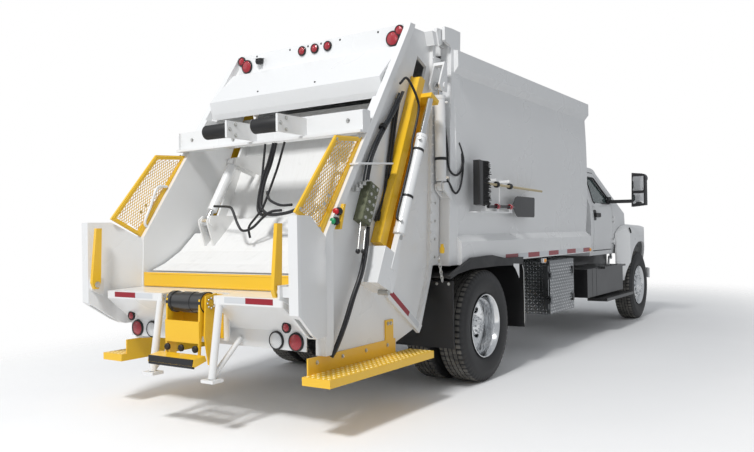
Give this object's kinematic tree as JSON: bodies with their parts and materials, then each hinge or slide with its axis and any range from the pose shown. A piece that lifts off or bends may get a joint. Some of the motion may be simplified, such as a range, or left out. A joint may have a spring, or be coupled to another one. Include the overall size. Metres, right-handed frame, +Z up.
{
  "type": "garbage truck",
  "caption": "Rear-loading garbage truck with conventional cab, hollow load body, lifting tailgate, packing carriage, sweep blade, cart lifter and turning wheels.",
  "frame": {"origin": "centre of the bounding box's foot, on the ground between the axles", "axes": "+X to the truck's right, +Y forward to the hood, +Z up"},
  "size_m": [3.0212, 9.3, 3.2698],
  "materials": {
    "white_paint": "gloss white enamel",
    "yellow_paint": "gloss yellow enamel",
    "black_paint": "satin black enamel",
    "chassis_black": "satin black with dust",
    "polished_alloy": "polished forged alloy",
    "tread_plate": "bright diamond tread plate",
    "tyre_rubber": "black tyre rubber",
    "rubber": "matt black rubber",
    "black_poly": "moulded black polymer",
    "chrome_rod": "hard-chromed rod",
    "glass": "tinted safety glass",
    "lamp_red": "red lamp lens",
    "lamp_clear": "clear lamp lens",
    "hopper_steel": "worn pale enamel on steel",
    "valve_metal": "olive cast valve block",
    "cab_trim": "grey cab trim and cloth",
    "broom_handle": "varnished wood with bristles"
  },
  "bodies": {
    "chassis": {"chassis_frame": "chassis_black", "running_gear": "chassis_black", "side_boxes": "black_poly", "toolbox": "tread_plate", "rear_fenders": "black_poly", "mudflaps": "rubber", "body_shell": "white_paint", "broom_shovel": "broom_handle", "cab_shell": "white_paint", "cab_glass": "glass", "cab_interior": "cab_trim", "front_bumper": "white_paint"},
    "wheel_rear_right": {"tyres_rear_right": "tyre_rubber", "rims_rear_right": "polished_alloy"},
    "wheel_rear_left": {"tyres_rear_left": "tyre_rubber", "rims_rear_left": "polished_alloy"},
    "steer_right": {"knuckle_right": "chassis_black"},
    "steer_left": {"knuckle_left": "chassis_black"},
    "wheel_front_right": {"tyre_front_right": "tyre_rubber", "rim_front_right": "polished_alloy"},
    "wheel_front_left": {"tyre_front_left": "tyre_rubber", "rim_front_left": "polished_alloy"},
    "door_right_body": {"door_right": "white_paint", "door_glass_right": "glass", "mirror_right": "black_poly"},
    "door_left_body": {"door_left": "white_paint", "door_glass_left": "glass", "mirror_left": "black_poly"},
    "hood_body": {"hood": "white_paint", "grille": "black_poly", "headlamps": "lamp_clear"},
    "toolbox_lid": {"toolbox_door": "tread_plate"},
    "tailgate_body": {"tailgate": "white_paint", "tailgate_hood": "white_paint", "yellow_trim": "yellow_paint", "tail_lamps": "lamp_red", "control_valve": "valve_metal", "rubber_buffers": "rubber", "pack_barrels": "white_paint", "lifter_frame": "yellow_paint"},
    "lift_cylinder": {"lift_barrels": "white_paint"},
    "lift_rod": {"lift_rods": "chrome_rod"},
    "carriage_body": {"carriage": "hopper_steel", "carriage_beams": "yellow_paint", "pack_rods": "chrome_rod"},
    "sweep_body": {"sweep_panel": "hopper_steel"},
    "sweep_cylinder": {"sweep_barrels": "white_paint"},
    "sweep_rod": {"sweep_rods": "chrome_rod"},
    "cart_lifter": {"lifter_arm": "yellow_paint"},
    "latch_arm_right": {"latch_right": "yellow_paint"},
    "latch_arm_left": {"latch_left": "yellow_paint"}
  },
  "joints": [
    {"name": "rear_wheels_right_roll", "type": "hinge", "parent": "chassis", "child": "wheel_rear_right", "pos_m": [0.96, -1.88, 0.527], "axis": [1, 0, 0], "continuous": true},
    {"name": "rear_wheels_left_roll", "type": "hinge", "parent": "chassis", "child": "wheel_rear_left", "pos_m": [-0.96, -1.88, 0.527], "axis": [1, 0, 0], "continuous": true},
    {"name": "steering_right", "type": "hinge", "parent": "chassis", "child": "steer_right", "pos_m": [0.85, 3.725, 0.527], "axis": [0, 0, 1], "range_deg": [-35, 35]},
    {"name": "steering_left", "type": "hinge", "parent": "chassis", "child": "steer_left", "pos_m": [-0.85, 3.725, 0.527], "axis": [0, 0, 1], "range_deg": [-35, 35]},
    {"name": "front_wheel_right_roll", "type": "hinge", "parent": "steer_right", "child": "wheel_front_right", "pos_m": [1.03, 3.725, 0.527], "axis": [1, 0, 0], "continuous": true},
    {"name": "front_wheel_left_roll", "type": "hinge", "parent": "steer_left", "child": "wheel_front_left", "pos_m": [-1.03, 3.725, 0.527], "axis": [1, 0, 0], "continuous": true},
    {"name": "door_right_swing", "type": "hinge", "parent": "chassis", "child": "door_right_body", "pos_m": [1.03, 2.878, 1.4], "axis": [0, 0, 1], "range_deg": [0, 65]},
    {"name": "door_left_swing", "type": "hinge", "parent": "chassis", "child": "door_left_body", "pos_m": [-1.03, 2.878, 1.4], "axis": [0, 0, -1], "range_deg": [0, 65]},
    {"name": "hood_tilt", "type": "hinge", "parent": "chassis", "child": "hood_body", "pos_m": [0, 4.525, 0.93], "axis": [-1, 0, 0], "range_deg": [0, 75]},
    {"name": "toolbox_lid_swing", "type": "hinge", "parent": "chassis", "child": "toolbox_lid", "pos_m": [1.188, -0.164, 0.76], "axis": [0, 0, -1], "range_deg": [0, 110]},
    {"name": "tailgate_lift", "type": "hinge", "parent": "chassis", "child": "tailgate_body", "pos_m": [0, -2.38, 3.2], "axis": [-1, 0, 0], "range_deg": [0, 80]},
    {"name": "lift_cylinder_pivot", "type": "hinge", "parent": "chassis", "child": "lift_cylinder", "pos_m": [1.072, -2.49, 1.83], "axis": [1, 0, 0], "range_deg": [0, 19.5]},
    {"name": "lift_rod_slide", "type": "slide", "parent": "lift_cylinder", "child": "lift_rod", "axis": [0, 0, 1], "range_m": [0, 0.505]},
    {"name": "carriage_slide", "type": "slide", "parent": "tailgate_body", "child": "carriage_body", "axis": [0, 0.4226, 0.9063], "range_m": [0, 0.38]},
    {"name": "sweep_swing", "type": "hinge", "parent": "carriage_body", "child": "sweep_body", "pos_m": [0, -3.31, 1.52], "axis": [1, 0, 0], "range_deg": [0, 85]},
    {"name": "sweep_cylinder_pivot", "type": "hinge", "parent": "carriage_body", "child": "sweep_cylinder", "pos_m": [0.6, -3.38, 2.09], "axis": [1, 0, 0], "range_deg": [0, 31.5]},
    {"name": "sweep_rod_slide", "type": "slide", "parent": "sweep_cylinder", "child": "sweep_rod", "axis": [0, -0.5246, -0.8513], "range_m": [0, 0.371]},
    {"name": "cart_lifter_turn", "type": "hinge", "parent": "tailgate_body", "child": "cart_lifter", "pos_m": [0, -4.44, 0.93], "axis": [-1, 0, 0], "range_deg": [0, 130]},
    {"name": "latch_right_turn", "type": "hinge", "parent": "tailgate_body", "child": "latch_arm_right", "pos_m": [0.975, -4.57, 1.045], "axis": [1, 0, 0], "range_deg": [0, 100]},
    {"name": "latch_left_turn", "type": "hinge", "parent": "tailgate_body", "child": "latch_arm_left", "pos_m": [-0.975, -4.57, 1.045], "axis": [1, 0, 0], "range_deg": [0, 100]}
  ],
  "couplings": [
    {"joint": "steering_left", "follows": "steering_right", "ratio": 1},
    {"joint": "lift_cylinder_pivot", "follows": "tailgate_lift", "ratio": 0.24},
    {"joint": "lift_rod_slide", "follows": "tailgate_lift", "m_per_rad": 0.36},
    {"joint": "sweep_cylinder_pivot", "follows": "sweep_swing", "ratio": 0.37},
    {"joint": "sweep_rod_slide", "follows": "sweep_swing", "m_per_rad": 0.25}
  ]
}
